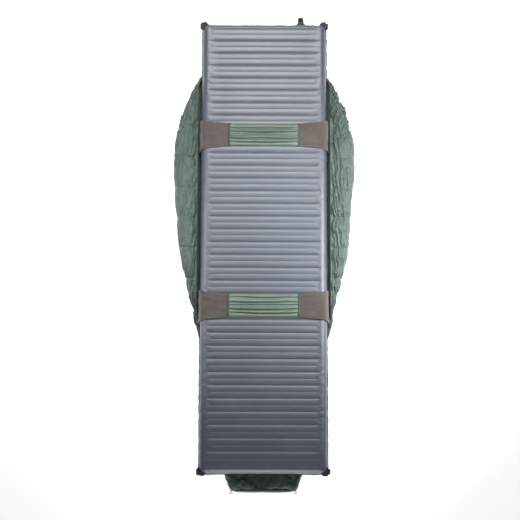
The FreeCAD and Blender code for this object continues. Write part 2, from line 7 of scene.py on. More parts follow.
import numpy as np
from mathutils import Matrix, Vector


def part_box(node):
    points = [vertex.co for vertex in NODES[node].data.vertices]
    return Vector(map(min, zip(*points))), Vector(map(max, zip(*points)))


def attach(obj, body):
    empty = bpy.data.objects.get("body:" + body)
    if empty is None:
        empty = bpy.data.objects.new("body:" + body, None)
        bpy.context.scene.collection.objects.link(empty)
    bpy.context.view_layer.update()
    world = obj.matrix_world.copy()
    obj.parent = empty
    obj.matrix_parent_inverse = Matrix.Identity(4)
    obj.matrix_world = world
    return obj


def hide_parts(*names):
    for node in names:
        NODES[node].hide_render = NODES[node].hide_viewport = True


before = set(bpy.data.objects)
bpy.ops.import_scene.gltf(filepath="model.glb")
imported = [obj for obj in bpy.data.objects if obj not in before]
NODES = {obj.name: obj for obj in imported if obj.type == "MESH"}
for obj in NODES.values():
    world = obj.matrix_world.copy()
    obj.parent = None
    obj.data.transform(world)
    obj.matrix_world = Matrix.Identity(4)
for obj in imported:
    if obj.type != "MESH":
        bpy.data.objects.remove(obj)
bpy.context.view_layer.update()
SCENE = bpy.context.scene


# ---- numbers and curves

def smooth(a, b, x):
    """0 before a, 1 after b, and a soft step between them."""
    t = np.clip((np.asarray(x, float) - a) / (b - a), 0, 1)
    return t * t * (3 - 2 * t)


def noise(x, y, seed):
    """Smooth noise, -1 to 1, with a wavelength of about 2."""
    table = np.random.default_rng(seed).uniform(-1, 1, (64, 64))
    x, y = np.broadcast_arrays(np.asarray(x, float), np.asarray(y, float))
    i, j = np.floor(x).astype(int), np.floor(y).astype(int)
    u, v = x - i, y - j
    u, v = (t * t * t * (t * (t * 6 - 15) + 10) for t in (u, v))
    corner = [[table[(i + a) % 64, (j + b) % 64] for b in (0, 1)] for a in (0, 1)]
    return ((corner[0][0] * (1 - u) + corner[1][0] * u) * (1 - v)
            + (corner[0][1] * (1 - u) + corner[1][1] * u) * v)


def fractal(x, y, seed, octaves=3):
    return sum(noise(x * 2**k, y * 2**k, seed + k) * 0.5**k for k in range(octaves))


def run_along(points):
    """Each point's distance from the first, along the line."""
    return np.concatenate([[0], np.cumsum(np.linalg.norm(np.diff(points, axis=0), axis=1))])


def curve_through(points, count):
    """count points evenly spaced along a smooth curve through the given 2-D points."""
    p = np.asarray(points, float)
    p = np.vstack([2 * p[0] - p[1], p, 2 * p[-1] - p[-2]])
    t = np.linspace(0, 1, 12, endpoint=False)[:, None]
    fine = []
    for a, b, c, d in zip(p, p[1:], p[2:], p[3:]):
        fine.append(0.5 * (2 * b + (c - a) * t + (2 * a - 5 * b + 4 * c - d) * t**2
                           + (3 * b - a - 3 * c + d) * t**3))
    fine = np.vstack(fine + [p[-2:-1]])
    run = run_along(fine)
    at = np.linspace(0, run[-1], count)
    return np.stack([np.interp(at, run, fine[:, k]) for k in range(fine.shape[1])], axis=1)


def grid_normals(g):
    """Unit normals of a (rows, columns, 3) grid."""
    along, across = np.gradient(g, axis=0), np.gradient(g, axis=1)
    n = np.cross(across, along)
    return n / np.maximum(np.linalg.norm(n, axis=2, keepdims=True), 1e-12)


def outward_normals(g, column, axis, sign=1):
    """grid_normals, turned to the sign side of an axis at one column."""
    n = grid_normals(g)
    return -n if sign * n[:, column, axis].mean() < 0 else n


# ---- making objects

def mesh_object(name, verts, faces, materials, face_slots=None, flat=False):
    mesh = bpy.data.meshes.new(name)
    mesh.from_pydata(np.asarray(verts, float).reshape(-1, 3).tolist(), [], faces)
    mesh.validate()
    for material in materials:
        mesh.materials.append(material)
    if face_slots is not None:
        mesh.polygons.foreach_set("material_index", np.asarray(face_slots, np.int32))
    if not flat:
        mesh.shade_smooth()
    mesh.update()
    obj = bpy.data.objects.new(name, mesh)
    SCENE.collection.objects.link(obj)
    return obj


def grid_faces(rows, cols, around=False):
    """Quads of a grid; around joins the last column to the first."""
    faces = []
    for r in range(rows - 1):
        for c in range(cols if around else cols - 1):
            n = (c + 1) % cols
            faces.append([r * cols + c, r * cols + n, (r + 1) * cols + n, (r + 1) * cols + c])
    return faces


def tube_faces(rows, cols):
    """Quads of a tube, then its two end caps."""
    caps = [list(range(cols))[::-1], [(rows - 1) * cols + c for c in range(cols)]]
    return grid_faces(rows, cols, around=True) + caps


def torus_faces(rows, cols):
    """Quads of a grid that is joined to itself both ways."""
    last = (rows - 1) * cols
    seam = [[last + c, last + (c + 1) % cols, (c + 1) % cols, c] for c in range(cols)]
    return grid_faces(rows, cols, around=True) + seam


def solid(name, verts, faces, materials, face_slots=None):
    """A closed mesh object whose faces point outwards."""
    obj = mesh_object(name, verts, faces, materials, face_slots)
    bm = bmesh.new()
    bm.from_mesh(obj.data)
    bmesh.ops.recalc_face_normals(bm, faces=bm.faces)
    bm.to_mesh(obj.data)
    bm.free()
    obj.data.update()
    return obj


def ring_tube(name, rings, material):
    """A closed tube through rings of shape (rows, around, 3)."""
    return solid(name, rings, tube_faces(*rings.shape[:2]), [material])


# ---- materials

class Shade:
    """A Principled material and short ways to add nodes to it."""

    def __init__(self, name, color, roughness, **sockets):
        self.material = bpy.data.materials.new(name)
        self.material.use_nodes = True
        self.tree = self.material.node_tree
        self.shader = self.tree.nodes["Principled BSDF"]
        self.set("Base Color", (*color, 1))
        self.set("Roughness", roughness)
        for socket, value in sockets.items():
            self.set(socket.replace("_", " "), value)
        self.coords = self.tree.nodes.new("ShaderNodeTexCoord").outputs["Object"]

    def set(self, socket, value):
        self.shader.inputs[socket].default_value = value

    def node(self, kind, links=(), values=(), **settings):
        made = self.tree.nodes.new(kind)
        for key, value in settings.items():
            setattr(made, key, value)
        for socket, value in dict(values).items():
            made.inputs[socket].default_value = value
        for socket, source in dict(links).items():
            self.tree.links.new(source, made.inputs[socket])
        return made

    def stretched(self, scale, turn=(0, 0, 0)):
        values = {"Scale": scale, "Rotation": turn}
        return self.node("ShaderNodeMapping", {"Vector": self.coords}, values).outputs[0]

    def noise(self, scale, detail=3, vector=None, roughness=0.5):
        values = {"Scale": scale, "Detail": detail, "Roughness": roughness}
        return self.node("ShaderNodeTexNoise", {"Vector": vector or self.coords}, values).outputs["Fac"]

    def weave(self, pitch):
        """Two crossed sets of threads, as one height."""
        scale = {"Scale": math.pi / (10 * pitch)}
        heights = [self.node("ShaderNodeTexWave", {"Vector": self.coords}, scale, bands_direction=direction,
                             wave_profile="SIN").outputs["Fac"] for direction in "XY"]
        return self.math("MULTIPLY", *heights)

    def math(self, operation, a, b):
        made = self.node("ShaderNodeMath", operation=operation)
        for k, value in enumerate((a, b)):
            if hasattr(value, "node"):
                self.tree.links.new(value, made.inputs[k])
            else:
                made.inputs[k].default_value = value
        return made.outputs[0]

    def ramp(self, fac, stops):
        made = self.node("ShaderNodeValToRGB", {"Fac": fac})
        elements = made.color_ramp.elements
        while len(elements) < len(stops):
            elements.new(0.5)
        for element, (position, color) in zip(elements, stops):
            element.position = position
            element.color = (*color, 1)
        return made.outputs["Color"]

    def color(self, output):
        self.tree.links.new(output, self.shader.inputs["Base Color"])

    def rough(self, fac, low, high):
        made = self.node("ShaderNodeMapRange", {"Value": fac}, {"To Min": low, "To Max": high})
        self.tree.links.new(made.outputs[0], self.shader.inputs["Roughness"])

    def bumps(self, *layers):
        """Stacks (height output, distance in metres, strength)."""
        normal = None
        for height, distance, strength in layers:
            links = {"Height": height} if normal is None else {"Height": height, "Normal": normal}
            normal = self.node("ShaderNodeBump", links,
                               {"Distance": distance, "Strength": strength}).outputs["Normal"]
        self.tree.links.new(normal, self.shader.inputs["Normal"])
        return self.material


def shift(color, factor):
    """The colour made lighter or darker by a factor."""
    return tuple(min(1, c * factor) for c in color)


def woven(name, color, roughness, pitch, crinkle=0.0, spread=0.12, sheen=0.0, sheen_tint=(1, 1, 1),
          specular=0.5):
    """Woven cloth: threads, soft colour variation and, if asked for, fine crinkles."""
    s = Shade(name, color, roughness, Sheen_Weight=sheen, Sheen_Roughness=0.35, Specular_IOR_Level=specular)
    s.set("Sheen Tint", (*sheen_tint, 1))
    blotch = s.noise(9, 4)
    s.color(s.ramp(blotch, [(0.3, shift(color, 1 - spread)), (0.7, shift(color, 1 + spread))]))
    s.rough(s.noise(40, 3), roughness - 0.06, roughness + 0.06)
    layers = [(s.weave(pitch), pitch * 0.35, 0.5)]
    if crinkle:
        layers.append((s.noise(1, 4, s.stretched((150, 45, 90), (0, 0, 0.6)), 0.6), crinkle, 0.6))
        layers.append((s.noise(1, 3, s.stretched((60, 260, 140), (0, 0, -0.4)), 0.6), crinkle * 0.5, 0.5))
    return s.bumps(*layers)


def knit(name, color):
    """Matte stretch knit with fine ribs along the strap."""
    s = Shade(name, color, 0.85, Sheen_Weight=0.35, Sheen_Roughness=0.5, Specular_IOR_Level=0.25)
    s.color(s.ramp(s.noise(30, 5), [(0.3, shift(color, 0.88)), (0.7, shift(color, 1.12))]))
    s.rough(s.noise(80, 3), 0.78, 0.92)
    return s.bumps((s.weave(0.0011), 0.0004, 0.6), (s.noise(420, 3), 0.0004, 0.4))


def coated(name, color, roughness, coat=0.15):
    """Pad fabric: a fine weave under a dull gloss coating."""
    s = Shade(name, color, roughness, Specular_IOR_Level=0.8, Coat_Weight=coat, Coat_Roughness=0.48)
    s.color(s.ramp(s.noise(7, 4), [(0.3, shift(color, 0.93)), (0.7, shift(color, 1.07))]))
    s.rough(s.noise(25, 4), roughness - 0.05, roughness + 0.05)
    return s.bumps((s.weave(0.0007), 0.0002, 0.35),
                   (s.noise(1, 4, s.stretched((28, 90, 60)), 0.55), 0.0016, 0.35),
                   (s.noise(260, 3), 0.0003, 0.3))


def moulded(name, color, roughness, grain=900, specular=0.5):
    """Moulded or welded plastic with a fine grain."""
    s = Shade(name, color, roughness, Specular_IOR_Level=specular)
    s.color(s.ramp(s.noise(60, 3), [(0.3, shift(color, 0.85)), (0.7, shift(color, 1.2))]))
    s.rough(s.noise(200, 2), roughness - 0.06, roughness + 0.08)
    return s.bumps((s.noise(grain, 3), 0.00025, 0.4))


def metal(name, color):
    """Dull painted metal."""
    s = Shade(name, color, 0.42, Metallic=0.9)
    s.color(s.ramp(s.noise(150, 4), [(0.35, shift(color, 0.8)), (0.65, shift(color, 1.3))]))
    s.rough(s.noise(300, 3), 0.34, 0.52)
    return s.bumps((s.noise(1500, 2), 0.0001, 0.3))


GREEN = (0.066, 0.099, 0.080)
M = {
    "shell": woven("shell_fabric", GREEN, 0.50, 0.0006, crinkle=0.0015, sheen=0.30,
                   sheen_tint=(0.75, 0.95, 0.83), specular=0.45),
    "lining": woven("lining_fabric", (0.075, 0.105, 0.092), 0.6, 0.0006, crinkle=0.0018, sheen=0.1),
    "binding": woven("edge_binding", (0.040, 0.062, 0.049), 0.6, 0.0005, spread=0.1),
    "gather": woven("strap_gather", (0.106, 0.147, 0.116), 0.32, 0.0006, crinkle=0.0008, sheen=0.18,
                    sheen_tint=(0.8, 0.95, 0.85)),
    "seam": woven("strap_seam", (0.040, 0.062, 0.047), 0.65, 0.0006),
    "knit": knit("strap_stretch", (0.088, 0.072, 0.066)),
    "pad": coated("pad_ground_fabric", (0.060, 0.072, 0.098), 0.50, 0.7),
    "pad_under": coated("pad_sleep_fabric", (0.20, 0.215, 0.25), 0.5),
    "rim": moulded("pad_weld", (0.030, 0.032, 0.037), 0.65, 500, 0.25),
    "boot": moulded("valve_boot", (0.055, 0.057, 0.064), 0.55, 700, 0.3),
    "plastic": moulded("valve_plastic", (0.010, 0.010, 0.011), 0.55, specular=0.25),
    "plunger": moulded("valve_plunger", (0.03, 0.03, 0.034), 0.4),
    "rubber": moulded("valve_rubber", (0.025, 0.025, 0.025), 0.7, 500, 0.3),
    "loop": woven("loop_cord", (0.36, 0.38, 0.375), 0.75, 0.0008, spread=0.15),
    "webbing": woven("tab_webbing", (0.035, 0.045, 0.04), 0.75, 0.0012),
    "snap": metal("snap_metal", (0.05, 0.05, 0.055)),
    "thread": woven("thread", (0.10, 0.15, 0.12), 0.6, 0.0003),
}


# ---- sizes read from the frame

def boxes(*names):
    """Low and high corner of the box round some nodes."""
    pairs = [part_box(name) for name in names]
    return np.min([p[0] for p in pairs], axis=0), np.max([p[1] for p in pairs], axis=0)


PAD_LOW, PAD_HIGH = boxes("pad_ground_sheet", "pad_sleep_sheet")
HEAD_LINE = PAD_HIGH[1]
PAD_MID = (PAD_LOW[2] + PAD_HIGH[2]) / 2

# The baffle seams: distances from the pad's head edge (D) and the quilt's half widths there (W).
FACE_INSET = 0.012  # from the outline to the flat face's corners
corners = np.array([v.co for v in NODES["shell_face"].data.vertices])
rows_y = np.unique(np.round(corners[:, 1], 5))[::-1]
SEAM_D = HEAD_LINE - rows_y
SEAM_W = np.array([corners[np.abs(corners[:, 1] - y) < 1e-4, 0].max() for y in rows_y]) + FACE_INSET
HEAD_D, FOOT_D = SEAM_D[0], SEAM_D[-1]
tape_low, tape_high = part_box("edge_tape_right")
FLAP_EDGE, FLAP_D = tape_high[0], (HEAD_LINE - tape_high[1], HEAD_LINE - tape_low[1])
under_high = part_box("shell_foot_underside")[1]
FOOT_FOLD_D, FOOT_HIGH = HEAD_LINE - under_high[1], under_high[2]


def width_at(d):
    """Half the quilt's width: a smooth curve through the seams."""
    slopes = np.gradient(SEAM_W, SEAM_D)
    d = np.asarray(d, float)
    k = np.clip(np.searchsorted(SEAM_D, d) - 1, 0, len(SEAM_D) - 2)
    span = SEAM_D[k + 1] - SEAM_D[k]
    t = (d - SEAM_D[k]) / span
    return ((2 * t**3 - 3 * t**2 + 1) * SEAM_W[k] + (t**3 - 2 * t**2 + t) * span * slopes[k]
            + (-2 * t**3 + 3 * t**2) * SEAM_W[k + 1] + (t**3 - t**2) * span * slopes[k + 1])


def chamber_phase(d):
    """0 to 1 from one seam to the next."""
    d = np.asarray(d, float)
    k = np.clip(np.searchsorted(SEAM_D, d, side="right") - 1, 0, len(SEAM_D) - 2)
    return (d - SEAM_D[k]) / (SEAM_D[k + 1] - SEAM_D[k])


def puff(phase):
    """0 at a seam, 1 in a chamber's middle, steep beside the seam."""
    return np.clip(1 - np.abs(2 * phase - 1) ** 2.6, 0, 1) ** 0.62


# ---- cloth

CLOTH_STIFFNESS = 15
CLOTH_MASS = 0.15


def settled(grid, pin, frames, pressure, spare, cap, bend=0.05):
    """The grid's points after a short cloth simulation, run on about a quarter of them.
    pin is 1 where the cloth is held, spare the share of extra cloth between the held lines, and
    cap the furthest that a point may move."""
    full = grid
    held = np.flatnonzero(pin.min(axis=1) > 0.8)
    rows = np.unique(np.concatenate([np.arange(0, len(grid), 2), held, [len(grid) - 1]]))
    cols = np.unique(np.concatenate([np.arange(0, grid.shape[1], 2), [grid.shape[1] - 1]]))
    grid, pin = grid[np.ix_(rows, cols)], pin[np.ix_(rows, cols)]
    rows_n, cols_n, _ = grid.shape
    obj = mesh_object("settling", grid, grid_faces(rows_n, cols_n), [])
    levels = np.round(np.clip(pin, 0, 1).ravel() * 20) / 20
    group = obj.vertex_groups.new(name="pin")
    for level in np.unique(levels):
        if level > 0:
            group.add(np.flatnonzero(levels == level).tolist(), float(level), "REPLACE")
    modifier = obj.modifiers.new("settle", "CLOTH")
    cloth = modifier.settings
    cloth.quality = 5
    cloth.mass = CLOTH_MASS
    cloth.tension_stiffness = cloth.compression_stiffness = CLOTH_STIFFNESS
    cloth.shear_stiffness = CLOTH_STIFFNESS * 0.4
    cloth.bending_stiffness = bend
    cloth.air_damping = 2
    cloth.vertex_group_mass = "pin"
    cloth.pin_stiffness = 1
    cloth.shrink_min = -spare
    cloth.use_pressure = True
    cloth.uniform_pressure_force = pressure
    cloth.effector_weights.gravity = 0
    modifier.collision_settings.use_collision = False
    modifier.collision_settings.use_self_collision = False
    modifier.point_cache.frame_start, modifier.point_cache.frame_end = 1, frames
    for f in range(1, frames + 1):
        SCENE.frame_set(f)
    evaluated = obj.evaluated_get(bpy.context.evaluated_depsgraph_get())
    points = np.empty(rows_n * cols_n * 3)
    evaluated.data.vertices.foreach_get("co", points)
    points = points.reshape(grid.shape)
    mesh = obj.data
    bpy.data.objects.remove(obj)
    bpy.data.meshes.remove(mesh)
    SCENE.frame_set(1)
    move = points - grid
    far = np.linalg.norm(move, axis=2, keepdims=True)
    move = np.nan_to_num(move * np.minimum(1, cap / np.maximum(far, 1e-9)))
    every_col, every_row = np.arange(full.shape[1]), np.arange(full.shape[0])
    wide = np.array([[np.interp(every_col, cols, line[:, k]) for k in range(3)] for line in move])
    wide = wide.transpose(0, 2, 1)
    spread = np.array([[np.interp(every_row, rows, wide[:, c, k]) for k in range(3)] for c in every_col])
    spread = spread.transpose(2, 0, 1)
    soft = spread.copy()
    soft[1:-1, 1:-1] = (4 * spread[1:-1, 1:-1] + spread[:-2, 1:-1] + spread[2:, 1:-1]
                        + spread[1:-1, :-2] + spread[1:-1, 2:]) / 8
    return full + soft


def stitches(name, body, lines, length=0.0030, gap=0.0017, radius=0.00042):
    """Rows of thread stitches on lines of (points, outward normals).
    Each stitch is a spindle that dips in at its ends."""
    verts, faces = [], []
    ring = 2 * np.pi * np.arange(5) / 5
    for points, normals in lines:
        run = run_along(points)

        def at(where, rows):
            return np.array([np.interp(where, run, rows[:, k]) for k in range(3)])

        for start in np.arange(0.001, run[-1] - length, length + gap):
            a, b, up = at(start, points), at(start + length, points), at(start + length / 2, normals)
            up = up / max(np.linalg.norm(up), 1e-9)
            side = np.cross(b - a, up)
            side /= max(np.linalg.norm(side), 1e-9)
            first = len(verts)
            verts.append(a - up * radius * 0.4)
            for share in (0.22, 0.78):
                center = a + (b - a) * share + up * radius * 0.55
                verts.extend(center + radius * (side * math.cos(t) + up * math.sin(t)) for t in ring)
            verts.append(b - up * radius * 0.4)
            for k in range(5):
                n = (k + 1) % 5
                faces.append([first, first + 1 + n, first + 1 + k])
                faces.append([first + 1 + k, first + 1 + n, first + 6 + n, first + 6 + k])
                faces.append([first + 11, first + 6 + k, first + 6 + n])
    piece = solid(name, np.array(verts), faces, [M["thread"]])
    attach(piece, body)


# ---- quilt

LOBE_COLS = 96
SIDE_COL = LOBE_COLS // 3  # a column where the side stands
FLAT_COLS = 22
ROW_STEP = 0.0030
CHAMBER_PITCH = 0.124
FLOOR_SKIM = 0.0004  # the lowest that cloth comes to the floor
BODY_MIDDLE = 0.0148
OPEN_D = (FLAP_D[0] - 0.06, FLAP_D[1] + 0.075)  # where the sides begin and stop folding up
SHOULDER_D, SHOULDER_REACH = 0.37, 0.11
# How the sides differ: the right one has the stronger folds at its shoulder.
SIDES = {
    "right": {"seed": 11, "depth": 0.0052, "waves": 0.0022, "folds": 1.30, "drift": 9, "fine": 1.0,
              "slant": 1.0, "lean": (34, 6)},
    "left": {"seed": 47, "depth": 0.0042, "waves": 0.0, "folds": 0.35, "drift": 3, "fine": 1.35,
             "slant": 0.3, "lean": (8, 0)},
}


def lobe_section(d):
    """The outer skin of one side at a station, from the floor over the crest to the opening's edge."""
    w = float(width_at(d))
    up = float(smooth(OPEN_D[0], FLAP_D[0] + 0.05, d) * (1 - smooth(FLAP_D[1] - 0.02, OPEN_D[1], d)))
    share = min(1.0, max(0.0, (w - FLAP_EDGE) / 0.075))
    crest = 0.066 + 0.022 * share
    lean = 0.004 + 0.024 * share
    flat = [(w - 0.034, 0.0006), (w - 0.014, 0.0010), (w - 0.004, 0.006), (w, 0.0150), (w - 0.002, 0.0215),
            (w - 0.007, 0.0265), (w - 0.013, 0.0290), (w - 0.021, 0.0298), (w - 0.030, 0.0295)]
    edge = FLAP_EDGE + 0.0015
    flap = [(w - 0.034, 0.0006), (w - 0.014, 0.0010), (w - 0.003, 0.010), (w, 0.030), (w - 0.002, 0.052),
            (w - 0.3 * lean, crest - 0.014), (w - lean, crest),
            (edge + 0.42 * (w - lean - edge), crest - 0.003), (edge, 0.072)]
    mixed = [tuple((1 - up) * a + up * b for a, b in zip(p, q)) for p, q in zip(flat, flap)]
    return curve_through(mixed, LOBE_COLS)


def quilt_rows():
    """Stations of the quilt's rows: each seam has a row of its own."""
    rows = []
    for low, high in zip(SEAM_D, SEAM_D[1:]):
        count = max(8, int(round((high - low) / ROW_STEP)))
        rows.extend(low + (high - low) * np.arange(count) / count)
    return np.array(rows + [SEAM_D[-1]])


ROWS = quilt_rows()
PHASE = chamber_phase(ROWS)
SEAM_ROW = PHASE < 1e-6
SEAM_ROW[0] = SEAM_ROW[-1] = True
PUFF = puff(PHASE)
PUFF[-1] = 0


def creases(a, b, seed):
    """Sharp-topped folds, 0 to 1, bent by slow noise."""
    bend = 0.8 * noise(a * 0.4, b * 0.4, seed + 9)
    coarse, small = ((1 - np.abs(noise(a * f + bend, b * f - bend, seed + f - 1))) ** 3 for f in (1, 2))
    return (coarse + small * 0.55) / 1.55


def lobe_grid(side):
    """Skin of one side, puffed between seams, with folds; made at +X for both sides."""
    its = SIDES[side]
    seed = its["seed"]
    grid = np.zeros((len(ROWS), LOBE_COLS, 3))
    for r, station in enumerate(ROWS):
        section = lobe_section(station)
        grid[r, :, 0], grid[r, :, 2] = section[:, 0], section[:, 1]
        grid[r, :, 1] = HEAD_LINE - station
    u, d = np.linspace(0, 1, LOBE_COLS)[None, :], ROWS[:, None]
    inside = smooth(0.04, 0.20, u) * (1 - smooth(0.94, 1.0, u))
    off_outline = smooth(0.20, 0.36, u)
    near_pad = smooth(0.32, 0.68, u)
    shoulder = np.exp(-((d - SHOULDER_D) / SHOULDER_REACH) ** 2)
    gap = np.minimum(PHASE, 1 - PHASE)[:, None] * CHAMBER_PITCH

    lumps = 0.0020 * fractal(u * 5 + seed, d * 14, seed, 2) + its["waves"] * noise(u * 0, d * 26, 5)
    depth = (its["depth"] + 0.0046 * smooth(0.38, 0.62, u)) * (PUFF - 1)[:, None]
    along = creases(u * 15 + seed, d * 9, seed + 2) - 0.45
    across = creases(u * 9 + 14 * d, d * 34 - 5 * u, seed + 5) - 0.45
    folds = 0.0030 * along * near_pad + 0.0004 * along * (1 - near_pad)
    folds = folds + 0.0032 * across * off_outline * (0.08 + its["folds"] * shoulder)
    puckers = 0.0014 * noise(u * 34, d * 11, seed + 8) * np.exp(-(gap / 0.017) ** 2) * (gap > 0)
    grid += outward_normals(grid, SIDE_COL, 0) * ((depth + lumps + folds + puckers) * inside)[:, :, None]
    grid[:, :, 2] = np.maximum(grid[:, :, 2], FLOOR_SKIM)

    hold = np.zeros((len(ROWS), LOBE_COLS))
    hold[SEAM_ROW] = 0.95
    hold = np.maximum(hold, 0.5 * (1 - smooth(0.25, 0.5, u)))
    hold[:, :6] = hold[:, -1] = 1
    hold[(ROWS < OPEN_D[0]) | (ROWS > OPEN_D[1])] = 1
    hold[[0, -1]] = 1
    loose = settled(grid[:, ::-1], hold[:, ::-1], 16, 0.8, 0.012, 0.0035, bend=0.4)[:, ::-1]

    close = 0.10 + 0.90 * near_pad
    lean = its["lean"][0] * d - its["lean"][1] * u
    fine = 0.0068 * close * (creases(u * 15 + seed + its["drift"] * d, d * 13 + 5 * u, seed + 14) - 0.4)
    fine = fine * its["fine"] + 0.0034 * close * (creases(u * 12 - 12 * d, d * 44 + 10 * u, seed + 25) - 0.4)
    slant = 0.0135 * (creases(u * 5 + lean * 0.5, d * 50 - 15 * u, seed + 17) - 0.4)
    slant = slant * off_outline * (0.10 + its["slant"] * shoulder)
    flat_at_seams = 1 - 0.6 * np.exp(-(gap / 0.008) ** 2)
    raised = (fine + slant) * inside * flat_at_seams
    loose = loose + outward_normals(loose, SIDE_COL, 0) * raised[:, :, None]
    loose[:, :, 2] = np.maximum(loose[:, :, 2], FLOOR_SKIM)
    loose[:, :, 0] = np.maximum(loose[:, :, 0], np.minimum(grid[:, :, 0], FLAP_EDGE + 0.0012))
    return loose


def strip(ends_a, ends_b, count, height):
    """Interior columns between two edge lines; height(cols, share), if given, makes their z."""
    share = (np.arange(count) + 1) / (count + 1)
    cols = ends_a[:, None, :] * (1 - share[None, :, None]) + ends_b[:, None, :] * share[None, :, None]
    if height is not None:
        cols[:, :, 2] = height(cols, share)
    return cols


def pinch_ends(ring, middle, count, least, above):
    """Closes the first and last rows of a tube towards a height, where they are above another."""
    for step in range(count):
        pinch = least + (1 - least) * math.sin(math.pi / 2 * step / count)
        for r in (step, len(ring) - 1 - step):
            part = ring[r, :, 2] > above
            ring[r, part, 2] = middle + (ring[r, part, 2] - middle) * pinch


def make_quilt_body():
    right = lobe_grid("right")
    left = lobe_grid("left")
    left[:, :, 0] *= -1
    wrinkle = 0.0011 * fractal(np.linspace(0, 40, FLAT_COLS)[None, :], ROWS[:, None] * 60, 3, 2)

    def floor_height(cols, share):
        return 0.0006 + 0.0042 * (1 - PUFF)[:, None] ** 1.5 + 0 * share[None, :] + np.maximum(wrinkle, 0)

    def lining_height(cols, share):
        return 0.0292 - 0.0065 * (1 - PUFF)[:, None] + 0 * share[None, :] + np.minimum(wrinkle, 0)

    def inner_wall(edge, sign):
        foot = edge.copy()
        drop = np.minimum(0.0012, np.maximum(edge[:, 2] - 0.0302, 0))
        foot[:, 0] -= sign * drop
        foot[:, 2] = np.minimum(edge[:, 2] - 0.0002, 0.0312)
        return strip(edge, foot, 4, None), foot

    lines = []
    for lobe, sign in ((right, 1), (left, -1)):
        normal = outward_normals(lobe, SIDE_COL, 0, sign)
        lines += [(lobe[r, 12:-3], normal[r, 12:-3]) for r in np.flatnonzero(SEAM_ROW)[1:-1]]
    stitches("baffle_stitches", "quilt", lines)

    wall_r, foot_r = inner_wall(right[:, -1], 1)
    wall_l, foot_l = inner_wall(left[:, -1], -1)
    floor = strip(left[:, 0], right[:, 0], FLAT_COLS, floor_height)
    lining = strip(foot_r, foot_l, FLAT_COLS, lining_height)
    ring = np.concatenate([floor, right, wall_r, lining, wall_l[:, ::-1], left[:, ::-1]], axis=1)
    pinch_ends(ring, BODY_MIDDLE, 6, 0.55, 0)
    cols = ring.shape[1]
    faces = tube_faces(len(ROWS), cols)
    first_lining = floor.shape[1] + LOBE_COLS
    last_lining = first_lining + wall_r.shape[1] + lining.shape[1] + wall_l.shape[1]
    slots = [int(first_lining <= f % cols < last_lining) for f in range(len(faces) - 2)] + [0, 0]
    body = solid("quilt_body", ring, faces, [M["shell"], M["lining"]], slots)
    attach(body, "quilt")
    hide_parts(*[n for n in NODES if n.startswith("fill_") or n in (
        "baffle_walls", "shell_face", "shell_side_left", "shell_side_right",
        "lining_face", "lining_side_left", "lining_side_right")])
    return right, left


def make_foot_top():
    """Upper layer of the closed footbox, down to the lower layer at both sides."""
    keep = ROWS >= FOOT_FOLD_D - 1e-6
    d = ROWS[keep]
    bulge = PUFF[keep]
    half = 34
    outer = []
    for station in d:
        w = float(width_at(station))
        path = [(w - 0.002, 0.0270), (w + 0.0005, 0.0345), (w - 0.003, 0.0435),
                (w - 0.016, FOOT_HIGH - 0.001), (w * 0.6, FOOT_HIGH), (w * 0.3, FOOT_HIGH), (0, FOOT_HIGH)]
        outer.append(curve_through(path, half))
    outer = np.array(outer)
    grid = np.zeros((len(d), 2 * half - 1, 3))
    grid[:, :half, 0], grid[:, :half, 2] = outer[:, :, 0], outer[:, :, 1]
    grid[:, half:, 0], grid[:, half:, 2] = -outer[:, -2::-1, 0], outer[:, -2::-1, 1]
    grid[:, :, 1] = (HEAD_LINE - d)[:, None]
    normal = outward_normals(grid, half, 2)
    u = np.linspace(-1, 1, 2 * half - 1)[None, :]
    near_end = smooth(FOOT_D - 0.12, FOOT_D - 0.02, d)[:, None]
    gathers = near_end * (0.0042 * (creases(u * 24, d[:, None] * 30 + 2 * u * u, 21) - 0.45)
                          + 0.0016 * noise(u * 70, d[:, None] * 24, 22))
    lumps = 0.0022 * fractal(u * 7, d[:, None] * 22, 31, 3)
    grid += normal * (0.0075 * (bulge - 1)[:, None] + lumps + gathers)[:, :, None]
    hold = np.zeros(grid.shape[:2])
    hold[bulge < 1e-6] = 0.9
    hold[[0, -1]] = 1
    hold[:, :2] = hold[:, -2:] = 1
    grid = settled(grid, hold, 16, 1.0, 0.04, 0.006)
    grid[:, :, 2] = np.minimum(grid[:, :, 2], FOOT_HIGH + 0.0012)
    inner_half = 14
    inner = np.zeros((len(d), 2 * inner_half, 3))
    w = width_at(d)[:, None]
    across = np.linspace(1, -1, 2 * inner_half)[None, :]
    inner[:, :, 0] = -(w - 0.012) * across
    inner[:, :, 2] = 0.0388 + 0.003 * (1 - bulge)[:, None]
    inner[:, [0, -1], 2] = 0.0275
    inner[:, :, 1] = (HEAD_LINE - d)[:, None]
    ring = np.concatenate([grid, inner], axis=1)
    pinch_ends(ring, 0.042, 5, 0.5, 0.030)
    cols = ring.shape[1]
    faces = tube_faces(len(d), cols)
    slots = [int(f % cols >= grid.shape[1]) for f in range(len(faces) - 2)] + [0, 0]
    top = solid("quilt_foot_top", ring, faces, [M["shell"], M["lining"]], slots)
    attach(top, "quilt")
    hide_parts("shell_foot_underside", "lining_foot_underside")


